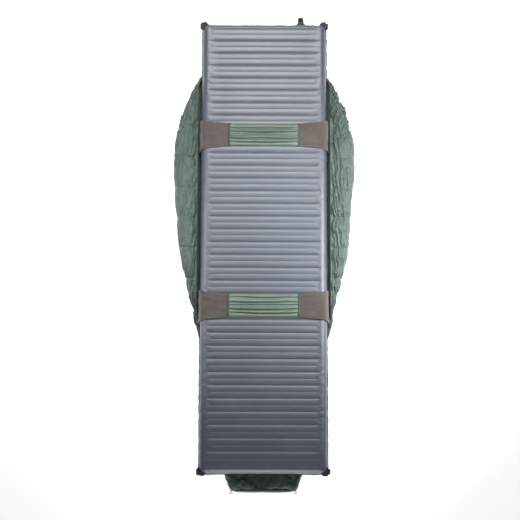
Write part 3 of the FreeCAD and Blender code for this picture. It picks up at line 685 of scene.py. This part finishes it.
def profile_tube(name, path, half_wide, half_high, material, around, power):
    """A tube along a path, flattened to its two half sizes, which may be arrays along it.
    Its section is an ellipse at power 2 and squarer above that."""
    path = np.asarray(path, float)
    tangent = np.gradient(path, axis=0)
    tangent /= np.linalg.norm(tangent, axis=1, keepdims=True)
    ups = np.broadcast_to(np.array([0.0, 0, 1]), path.shape)
    sideways = np.cross(tangent, ups)
    sideways /= np.linalg.norm(sideways, axis=1, keepdims=True)
    ups = np.cross(sideways, tangent)
    a = 2 * np.pi * np.arange(around) / around
    cx, cz = (np.sign(f(a)) * np.abs(f(a)) ** (2 / power) for f in (np.cos, np.sin))
    wide = np.broadcast_to(half_wide, len(path))[:, None, None]
    high = np.broadcast_to(half_high, len(path))[:, None, None]
    rings = (path[:, None] + sideways[:, None] * cx[None, :, None] * wide
             + ups[:, None] * cz[None, :, None] * high)
    return ring_tube(name, rings, material)


def make_edges(right, left):
    """Binding along both edges of the opening and at the neck."""
    along = (ROWS > FLAP_D[0] - 0.03) & (ROWS < FLAP_D[1] + 0.05)
    for side, lobe, sign in (("right", right, 1.0), ("left", left, -1.0)):
        path = lobe[along, -1].copy()
        ruffle = 0.0006 * noise(ROWS[along] * 90, 0, 9 if side == "right" else 8)
        path[:, 2] += ruffle + 0.0008
        tape = profile_tube(f"edge_binding_{side}", path, 0.0014, 0.0042 + ruffle, M["binding"], 10, power=3)
        outer = path + [sign * 0.0014, 0, -0.0010]
        stitches(f"edge_stitches_{side}", "quilt",
                 [(outer, np.tile([sign, 0, 0.2], (len(outer), 1)))])
        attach(tape, "quilt")
        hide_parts(f"edge_tape_{side}")
    w = float(width_at(HEAD_D)) - 0.004
    x = np.linspace(-w, w, 120)
    z = BODY_MIDDLE + 0.0006 * noise(x * 90, 0, 4)
    path = np.stack([x, np.full_like(x, HEAD_LINE - HEAD_D + 0.0005), z], axis=1)
    tape = profile_tube("neck_edge_binding", path, 0.0022, 0.0098, M["binding"], 14, power=2.6)
    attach(tape, "quilt")
    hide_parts("neck_binding")


def make_foot_end():
    """Puffed end panel of the footbox with a cord-like seam round it."""
    w = float(width_at(FOOT_D)) - 0.003
    middle, high = 0.0255, 0.0225
    y0 = HEAD_LINE - FOOT_D
    angles = np.linspace(0, 2 * np.pi, 160, endpoint=False)
    cx = np.sign(np.cos(angles)) * np.abs(np.cos(angles)) ** 0.5
    cz = np.sign(np.sin(angles)) * np.abs(np.sin(angles)) ** 0.8
    rim = np.stack([w * cx, np.full_like(cx, y0 - 0.0005), middle + high * cz], axis=1)
    loop_low, loop_high = boxes("foot_loop_right")
    loop_at = (loop_low + loop_high) / 2

    def by_loop(points, wide):
        """1 where a hanging loop lies against the panel as it swings, 0 away from it."""
        across = (np.abs(points[:, 0]) - loop_at[0]) / wide
        return np.exp(-across**4 - ((points[:, 2] - loop_at[2]) / 0.019) ** 4)

    rings = []
    for k, share in enumerate(np.linspace(1, 0.04, 14)):
        ring = rim.copy()
        ring[:, 0] *= share ** 0.6
        ring[:, 2] = middle + (ring[:, 2] - middle) * share
        crease = 0.0011 * noise(angles * 14, share * 3, 17) * (share > 0.1)
        proud = 0.0062 * (1 - share**2.4) ** 0.7 + crease * min(1, k / 2)
        hollow = by_loop(ring, 0.0135)
        ring[:, 1] = y0 - 0.0005 - proud * (1 - hollow) - np.minimum(proud, 0.0004) * hollow
        rings.append(ring)
    rings.append(rim + np.array([0, 0.0016, 0]))
    order = [rings[-1]] + rings[:-1]
    panel = ring_tube("foot_end", np.array(order), M["shell"])
    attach(panel, "quilt")
    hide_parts("foot_end_panel")
    a = 2 * np.pi * np.arange(10) / 10
    loop = rim + (rim - [0, y0, middle]) * [0.004, 0, 0.02]
    tangent = np.roll(loop, -1, axis=0) - np.roll(loop, 1, axis=0)
    tangent /= np.linalg.norm(tangent, axis=1, keepdims=True)
    out = np.cross(tangent, [0, 1, 0])
    sunk = by_loop(loop, 0.0160)
    loop[:, 1] += 0.0018 * sunk
    radius = ((0.0019 + 0.0003 * noise(angles * 20, 0, 3)) * (1 - 0.4 * sunk))[:, None, None]
    rings = loop[:, None] + (out[:, None] * np.cos(a)[None, :, None]
                             + np.array([0, 1, 0]) * np.sin(a)[None, :, None]) * radius
    rings[:, :, 2] = np.maximum(rings[:, :, 2], 0.0002)
    piping = solid("foot_seam_piping", rings, torus_faces(*rings.shape[:2]), [M["shell"]])
    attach(piping, "quilt")


# ---- pad

RIB_FIELD = boxes("pad_core_ground_side")
RIB_COUNT = 68
RIB_END = 0.229  # how far the ribs reach to each side
GROOVE_DEEP, GROOVE_SHALLOW = 0.0058, 0.0021
SLAB = 0.028  # width of the rounding at the pad's edges
CORNER = 0.030  # and at its corners, seen from above
HEAD_RAGGED, FOOT_RAGGED = 0.0044, 0.0012
VALVE_BULGE = 0.0075


def rib_rows():
    """(y, rib's number or -1, 0 to 1 across the rib, sine of the end's rounding) for every row."""
    low, high = PAD_LOW[1], PAD_HIGH[1]
    theta = np.radians(np.array([0, 6, 14, 24, 35, 47, 59, 70, 80, 90]))
    start, end = RIB_FIELD[0][1], RIB_FIELD[1][1]
    pitch = (end - start) / RIB_COUNT
    ends = [(SLAB * (1 - math.cos(t)), math.sin(t)) for t in theta]
    rows = [(high - inset, -1, 0.5, sine) for inset, sine in ends if high - inset > end]
    for rib in range(RIB_COUNT):
        for t in (0, 0.045, 0.11, 0.2, 0.34, 0.5, 0.66, 0.8, 0.89, 0.955):
            y = end - (rib + t) * pitch
            depth = min(high - y, y - low)
            sine = math.sin(math.acos(max(0, 1 - depth / SLAB))) if depth < SLAB else 1
            rows.append((y, rib, t, sine))
    y = end - RIB_COUNT * pitch
    rows.append((y, RIB_COUNT, 0, 1))
    rows += [(low + inset, -1, 0.5, sine) for inset, sine in ends[::-1] if low + inset < start - 0.001]
    return np.array(rows)


def pad_sheet(sign):
    """Points of one sheet of the pad: sign 1 is the ground side, which faces up."""
    y, rib, t, end_sine = rib_rows().T
    half = (PAD_HIGH[0] - PAD_LOW[0]) / 2
    low_y, high_y = PAD_LOW[1], PAD_HIGH[1]
    theta = np.radians(np.array([0, 7, 16, 27, 39, 52, 65, 78, 90]))
    side = half - SLAB * (1 - np.cos(theta))
    x_half = np.concatenate([side, np.arange(0.2350, 0.1990, -0.0022), [0.1945, 0.188, 0.178],
                             np.linspace(0.165, 0, 9)])
    x_half = np.unique(np.round(x_half, 6))[::-1]
    x = np.concatenate([x_half, -x_half[-2::-1]])
    side_sine = np.where(half - np.abs(x) < SLAB,
                         np.sqrt(np.clip(1 - (1 - (half - np.abs(x)) / SLAB) ** 2, 0, 1)), 1)
    X, Y = np.meshgrid(x, y)
    groove = np.where(t < 0.5, rib, rib + 1)
    deep = groove.astype(int) % 2 == 0
    depth = np.where(deep, GROOVE_DEEP, GROOVE_SHALLOW)
    arch = 1 - np.sqrt(np.clip(1 - (2 * t - 1) ** 2 * 0.93, 0, 1))
    depth = np.where(rib < 0, 0, depth * arch)
    wander = 0.0035 * noise(groove[:, None] * 3.7, 0.5 + (X > 0) * 7, 61 if sign > 0 else 62)
    reach = RIB_END - np.where(deep, 0, 0.006)[:, None] + wander
    near_head = smooth(HEAD_LINE - 0.62, HEAD_LINE - 0.20, Y)
    reach = reach - 0.030 * near_head
    fade = 1 - smooth(0, 1, (np.abs(X) - (reach - 0.019)) / (0.020 + 0.050 * near_head))
    fade = fade * (0.58 + 0.42 * smooth(PAD_LOW[1] + 0.08, PAD_LOW[1] + 0.55, Y))
    crown = 0.0020 * (1 - (X / half) ** 2)
    top = 0.0300 + crown - depth[:, None] * fade
    top += 0.0007 * fractal(X * 9, Y * 7, 71, 3)
    shoulder = smooth(0.19, 0.225, np.abs(X)) * (1 - smooth(0.235, 0.252, np.abs(X)))
    top += shoulder * 0.0009 * noise(X * 60, Y * 75, 72)
    pillow = side_sine[None, :] * end_sine[:, None]
    points = np.stack([X, Y, PAD_MID + sign * top * pillow], axis=2)
    edge_x, edge_y = 1 - side_sine[None, :], 1 - end_sine[:, None]
    pull = 0.0010 * noise(Y * 78, X * 0, 73) * edge_x * (end_sine[:, None] > 0.9)
    points[:, :, 0] -= np.sign(X) * (0.0012 * edge_x * (1 - edge_y) + pull)
    ragged = np.where(Y > 0, HEAD_RAGGED, FOOT_RAGGED) * (0.5 + 0.5 * noise(X * 17, 3, 75))
    ragged = 0.0008 * noise(X * 70, 0, 74) + ragged
    points[:, :, 1] -= np.sign(Y) * ragged * edge_y * (1 - edge_x)
    near_x = np.clip(1 - (half - np.abs(points[:, :, 0])) / CORNER, 0, 1)
    end_gap = np.where(Y > 0, high_y - points[:, :, 1], points[:, :, 1] - low_y)
    near_y = np.clip(1 - end_gap / CORNER, 0, 1)
    points[:, :, 0] -= np.sign(X) * CORNER * near_x * (1 - np.sqrt(1 - near_y**2 / 2))
    points[:, :, 1] -= np.sign(Y) * CORNER * near_y * (1 - np.sqrt(1 - near_x**2 / 2))
    valve_low, valve_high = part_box("valve_body")
    valve_x = (valve_low[0] + valve_high[0]) / 2
    points[:, :, 1] += VALVE_BULGE * np.exp(-((X - valve_x) / 0.021) ** 2) * edge_y * (Y > 0.5)
    return points


def make_pad():
    top, under = pad_sheet(1), pad_sheet(-1)
    top[[0, -1], :, 2] = under[[0, -1], :, 2] = PAD_MID
    top[:, [0, -1], 2] = under[:, [0, -1], 2] = PAD_MID
    n, m, _ = top.shape
    inner = np.ones((n, m), bool)
    inner[[0, -1], :] = inner[:, [0, -1]] = False
    number = np.arange(n * m).reshape(n, m)
    under_number = number.copy()
    under_number[inner] = n * m + np.arange(inner.sum())
    faces = grid_faces(n, m)
    count = len(faces)
    for r in range(n - 1):
        for c in range(m - 1):
            faces.append([int(under_number[a]) for a in ((r, c), (r + 1, c), (r + 1, c + 1), (r, c + 1))])
    verts = np.concatenate([top.reshape(-1, 3), under[inner]])
    slots = [0] * count + [1] * (len(faces) - count)
    pad = solid("pad_air_cell", verts, faces, [M["pad"], M["pad_under"]], slots)
    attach(pad, "pad")
    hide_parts("pad_ground_sheet", "pad_sleep_sheet", "pad_core_ground_side", "pad_core_sleep_side",
                "pad_reflective_film")

    loop = np.concatenate([top[0, :], top[1:, -1], top[-1, -2::-1], top[-2:0:-1, 0]])
    at_side = np.abs(np.abs(loop[:, 0]) - np.abs(loop[:, 0]).max()) < 0.004
    at_end = (loop[:, 1] > PAD_HIGH[1] - 0.006) | (loop[:, 1] < PAD_LOW[1] + 0.006)
    out = np.zeros_like(loop)
    out[:, 0] = np.where(at_side, np.sign(loop[:, 0]), 0)
    out[:, 1] = np.where(at_end, np.sign(loop[:, 1]), 0)
    run = run_along(loop)
    wave = 0.0009 * noise(run * 75, 0, 81)
    reach = (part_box("pad_weld_rim")[1][0] - PAD_HIGH[0]) + 0.0008 * noise(run * 40, 0, 82)[:, None]
    upper = [(-0.0015, 0.0006), (0.4, 0.0007), (1.0, 0.0005)]
    rings = []
    # a share of the rim's reach, or metres inwards where it is below 0, and a height
    for share, lift in upper + [(share, -lift) for share, lift in upper[::-1]]:
        ring = loop + out * (reach * share if share > 0 else share)
        ring[:, 2] = PAD_MID + lift + (wave * max(0, share))
        rings.append(ring)
    rings = np.stack(rings, axis=1)
    rim = solid("pad_weld", rings, torus_faces(*rings.shape[:2]), [M["rim"]])
    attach(rim, "pad")
    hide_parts("pad_weld_rim")
    make_corner_ears()


EAR_RADIUS = 0.0205
EAR_RISE = 0.0135


def make_corner_ears():
    """The weld's loose corners, which curl up as the pad fills."""
    low, high = boxes("pad_corner_tabs")
    for k, (sx, sy) in enumerate(((1, 1), (-1, 1), (-1, -1), (1, -1))):
        base = np.array([sx * (PAD_HIGH[0] - 0.016), (PAD_HIGH[1] if sy > 0 else PAD_LOW[1]) - sy * 0.014])
        tip = np.array([sx * (high[0] + 0.0040), (high[1] if sy > 0 else low[1]) - sy * 0.0045])
        ahead = (tip - base) / np.linalg.norm(tip - base)
        center = tip - np.array([sx, sy]) * EAR_RADIUS
        phi = 2 * np.pi * np.arange(36) / 36
        rho = np.array([0.04, 0.2, 0.4, 0.58, 0.74, 0.87, 0.96, 1.0])[:, None]
        limp = 1 - 0.24 * np.abs(noise(np.cos(phi) * 1.7 + 5 * k, np.sin(phi) * 1.7, 90 + k))[None, :] * rho
        x = center[0] + EAR_RADIUS * rho * limp * np.cos(phi)
        y = center[1] + EAR_RADIUS * rho * limp * np.sin(phi)
        outward = (x - center[0]) * ahead[0] + (y - center[1]) * ahead[1]
        curl = 0.0034 * np.maximum(outward / EAR_RADIUS, 0) ** 2
        z = PAD_MID + EAR_RISE + curl + 0.0016 * rho**2 * noise(phi * 2.1, rho * 2, 95 + k)
        top = np.stack([x, y, z + 0.0012 + 0.0014 * (1 - rho**4)], axis=2)
        bottom = np.stack([x, y, z - 0.0012], axis=2)
        shell = np.concatenate([top, bottom[::-1]], axis=0)
        ear = ring_tube(f"pad_corner_{k + 1}", shell, M["rim"])
        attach(ear, "pad")
    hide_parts("pad_corner_tabs")


# ---- straps

def slab_between(name, top, bottom, material):
    """A closed thin piece from two matching grids."""
    return ring_tube(name, np.concatenate([top, bottom[:, ::-1]], axis=1), material)


def make_side_panel(which, side):
    """Stretch panel from the quilt's edge round the pad's side, narrowing to its seam."""
    node = f"{which}_strap_panel_{side}"
    low, high = boxes(node)
    sign = 1 if side == "right" else -1
    near, far = sorted((abs(low[0]), abs(high[0])))
    middle = (low[1] + high[1]) / 2
    wide = (high[1] - low[1]) / 2
    seam_low, seam_high = boxes(f"{which}_strap_seam_{side}")
    narrow = (seam_high[1] - seam_low[1]) / 2
    face = high[2] - 0.0008
    side_x = far - 0.0010
    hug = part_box("pad_weld_rim")[1][0] + 0.0018
    path = [(side_x, 0.050), (side_x - 0.0032, 0.058), (hug + 0.0003, 0.069), (hug, 0.083),
            (hug - 0.0024, 0.0955), (hug - 0.0090, 0.1075), (hug - 0.0195, face - 0.0022),
            (hug - 0.0335, face - 0.0002), (hug - 0.056, face + 0.0002), (near + 0.02, face),
            (near - 0.001, face + 0.0002)]
    line = curve_through(path, 64)
    run = run_along(line)
    share = run / run[-1]
    taper = smooth(0.30, 0.42, share) * 0.15 + 0.85 * np.clip((share - 0.36) / 0.64, 0, 1)
    half = wide * (1 - taper) + narrow * taper
    half -= 0.0025 * np.sin(np.pi * share) ** 2
    v = np.concatenate([[-1, -0.985, -0.955, -0.925, -0.905, -0.885], np.linspace(-0.8, 0.8, 23),
                        [0.885, 0.905, 0.925, 0.955, 0.985, 1]])
    hem = np.interp(np.abs(v), [0, 0.88, 0.905, 0.93, 0.98, 1.0], [0, 0, -0.0004, 0.0006, 0.0005, -0.0004])
    tangent = np.gradient(line, axis=0)
    tangent /= np.linalg.norm(tangent, axis=1, keepdims=True)
    normal = np.stack([tangent[:, 1], -tangent[:, 0]], axis=1)
    if normal[len(normal) // 2:, 1].mean() < 0:
        normal = -normal
    seed = 101 + 7 * (which == "lower") + 3 * (side == "left")
    S, V = share[:, None], v[None, :]
    slack = 0.0016 if (which, side) == ("lower", "left") else 0.0009
    folds = slack * fractal(S * 3 + 0.8 * V, V * 4 + S * 1.5, seed, 2)
    pulls = 0.0007 * noise(S * 1.5, V * 9, seed + 1) * smooth(0.6, 1.0, S)
    lift = np.clip(folds + pulls, -0.0012, 0.002) * (1 - smooth(0.9, 1.0, np.abs(V)) * 0.6) + hem[None, :]
    lift = lift * smooth(0, 0.04, S) + 0.0005
    center, outward = np.zeros((2, len(line), len(v), 3))
    for grid, section in ((center, line), (outward, normal)):
        grid[:, :, 0], grid[:, :, 2] = sign * section[:, :1], section[:, 1:]
    center[:, :, 1] = middle + half[:, None] * V
    top = center + outward * lift[:, :, None]
    bottom = center - outward * 0.0006
    panel = slab_between(f"{which}_strap_side_{side}", top, bottom, M["knit"])
    hems = [int(np.argmin(np.abs(v - at))) for at in (-0.905, 0.905)]
    lines = [(top[3:-2, j], outward[3:-2, j]) for j in hems]
    lines += [(top[r, 4:-4], outward[r, 4:-4]) for r in (-3, -5)]
    stitches(f"{which}_strap_stitches_{side}", "quilt", lines)
    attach(panel, "quilt")
    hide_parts(node)


FOLD_HEIGHTS = (0.0050, 0.0100, 0.0112, 0.0054, 0.0104, 0.0078)
FOLD_LEAN = 13
VALLEY = 0.075  # half the gap between the two middle folds, as a share of half the tube's width


def make_gather(which):
    """The gathered middle: a flat tube whose cloth lies in long folds over its elastic."""
    node = f"{which}_strap_gathered_middle"
    low, high = boxes(node)
    reach, middle, half = high[0], (low[1] + high[1]) / 2, (high[1] - low[1]) / 2
    seed = 131 + 9 * (which == "lower")
    rng = np.random.default_rng(seed)
    folds = len(FOLD_HEIGHTS)
    shifts = np.concatenate([[0], rng.uniform(-0.11, 0.11, folds - 1), [0]])
    edges = np.sort(np.linspace(-1, 1, folds + 1) + shifts)
    x = np.linspace(-reach, reach, 121)
    t = np.array([0, 0.05, 0.13, 0.25, 0.38, 0.5, 0.62, 0.75, 0.87, 0.95])
    columns, heights = [], []
    ends = 1 - np.abs(x / reach) ** 6
    for k in range(folds):
        wander = [0.05 * noise(x * 9 + j, 0, seed + j) * ends * (0 < j < folds) for j in (k, k + 1)]
        a, b = edges[k] + wander[0], edges[k + 1] + wander[1]
        valley = VALLEY * ends * (0.55 + 0.45 * noise(x * 6, 0, seed + 40))
        a, b = a + valley * (k == folds // 2), b - valley * (k == folds // 2 - 1)
        tall = FOLD_HEIGHTS[k] * rng.uniform(0.85, 1.0)
        swell = 1.12 * tall * (0.74 + 0.30 * noise(x * 7 + 3 * k, 0, seed + 20 + k)) * (0.35 + 0.65 * ends)
        for phase in (t if k < folds - 1 else np.append(t, 1.0)):
            columns.append(a * (1 - phase) + b * phase)
            heights.append(swell * math.sin(math.pi * min(phase, 1)) ** 1.15)
    v, h = np.stack(columns, axis=1), np.stack(heights, axis=1)
    top = np.zeros((*v.shape, 3))
    top[:, :, 0] = x[:, None]
    top[:, :, 1] = middle + half * (v - FOLD_LEAN * h)
    top[:, :, 2] = low[2] + 0.0014 + h + 0.0004 * noise(x[:, None] * 120, v * 12, seed + 50)
    bottom = top.copy()
    bottom[:, :, 1], bottom[:, :, 2] = middle + half * v, low[2] + 0.0002
    piece = slab_between(f"{which}_strap_gathers", top, bottom, M["gather"])
    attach(piece, "quilt")
    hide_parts(node, f"{which}_strap_elastic")


def make_strap_seams(which):
    """The seam strips between the side panels and the gathered middle."""
    for side in ("right", "left"):
        node = f"{which}_strap_seam_{side}"
        low, high = boxes(node)
        y = np.linspace(low[1] - 0.0005, high[1] + 0.0005, 70)
        x = (low[0] + high[0]) / 2 + 0.0003 * noise(y * 60, 0, 151)
        z = np.full_like(y, (low[2] + high[2]) / 2 + 0.0006) + 0.0004 * noise(y * 110, 0, 152)
        seam = profile_tube(f"{which}_strap_join_{side}", np.stack([x, y, z], axis=1), 0.0042, 0.0022,
                            M["seam"], 12, power=2.6)
        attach(seam, "quilt")
        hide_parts(node)


# ---- CAD nodes that stay, with better finishes

def finish_nodes():
    table = {
        "valve_boot": "boot", "valve_body": "plastic", "valve_knob": "plastic", "valve_plunger": "plunger",
        "valve_seal": "rubber", "foot_loop_left": "loop", "foot_loop_right": "loop",
        "neck_tab_left": "webbing", "neck_tab_right": "webbing", "neck_snap_stud": "snap",
        "neck_snap_stud_cap": "snap", "neck_snap_socket": "snap", "neck_snap_socket_cap": "snap",
    }
    for node, key in table.items():
        obj = NODES[node]
        if not obj.data.materials:
            obj.data.materials.append(M[key])
        for slot_ in obj.material_slots:
            slot_.material = M[key]


# ---- floor, light and camera

def make_stage():
    shade = Shade("floor", (0.86, 0.86, 0.86), 0.7, Specular_IOR_Level=0.2)
    shade.color(shade.ramp(shade.noise(3, 3), [(0.3, (0.91, 0.91, 0.91)), (0.7, (0.93, 0.93, 0.93))]))
    shade.set("Emission Color", (1, 1, 1, 1))
    shade.set("Emission Strength", 0.72)
    far = 60
    verts = [(-far, -far, 0), (far, -far, 0), (far, far, 0), (-far, far, 0)]
    floor = mesh_object("floor", verts, [[0, 1, 2, 3]], [shade.material], flat=True)

    world = bpy.data.worlds.new("studio")
    world.use_nodes = True
    back = world.node_tree.nodes["Background"]
    back.inputs["Color"].default_value = (0.95, 0.97, 1, 1)
    back.inputs["Strength"].default_value = 0.07
    SCENE.world = world

    # name, place, target, size along x and y, watts, spread in degrees; "beyond" is for the slid-out pad
    lights = (
        ("head", (0.0, 1.9, 2.4), (0, 0.70, 0), 0.6, 1.2, 16.5, 80),
        ("side", (0.98, 0.06, 0.85), (0.38, 0.06, 0.03), 0.6, 0.6, 8.6, 100),
        ("fill", (-0.98, 0.06, 0.85), (-0.38, 0.06, 0.03), 0.6, 0.6, 3.3, 100),
        ("beyond", (0.0, 2.9, 2.0), (0, 2.7, 0), 1.0, 1.0, 9, 70),
        ("foot", (0.0, -2.1, 0.42), (0, -0.98, 0.03), 0.6, 0.3, 1.3, 60),
    )
    for name, place, target, size_x, size_y, power, spread in lights:
        data = bpy.data.lights.new(name, "AREA")
        data.shape = "RECTANGLE"
        data.size, data.size_y, data.energy, data.spread = size_x, size_y, power, math.radians(spread)
        light = bpy.data.objects.new(name, data)
        light.location = place
        light.rotation_euler = (Vector(target) - Vector(place)).to_track_quat("-Z", "Y").to_euler()
        SCENE.collection.objects.link(light)
    SCENE.view_settings.view_transform = "Standard"
    SCENE.view_settings.look = "None"


def make_camera():
    """Almost straight above, seen a little from the foot end."""
    elevation, far = math.radians(82), 5.19
    target = Vector((-0.0150, -0.0385, 0.084))
    away = Vector((0, -math.cos(elevation), math.sin(elevation)))
    data = bpy.data.cameras.new("camera")
    data.sensor_width = 36
    data.lens = 89.3
    camera = bpy.data.objects.new("camera", data)
    camera.location = target + away * far
    camera.rotation_euler = (-away).to_track_quat("-Z", "Y").to_euler()
    camera.rotation_euler.rotate_axis("Z", math.radians(0.18))
    SCENE.collection.objects.link(camera)
    SCENE.camera = camera


make_camera()
lobe_right, lobe_left = make_quilt_body()
make_foot_top()
make_edges(lobe_right, lobe_left)
make_foot_end()
make_pad()
for strap in ("upper", "lower"):
    for end in ("right", "left"):
        make_side_panel(strap, end)
    make_gather(strap)
    make_strap_seams(strap)
finish_nodes()
make_stage()
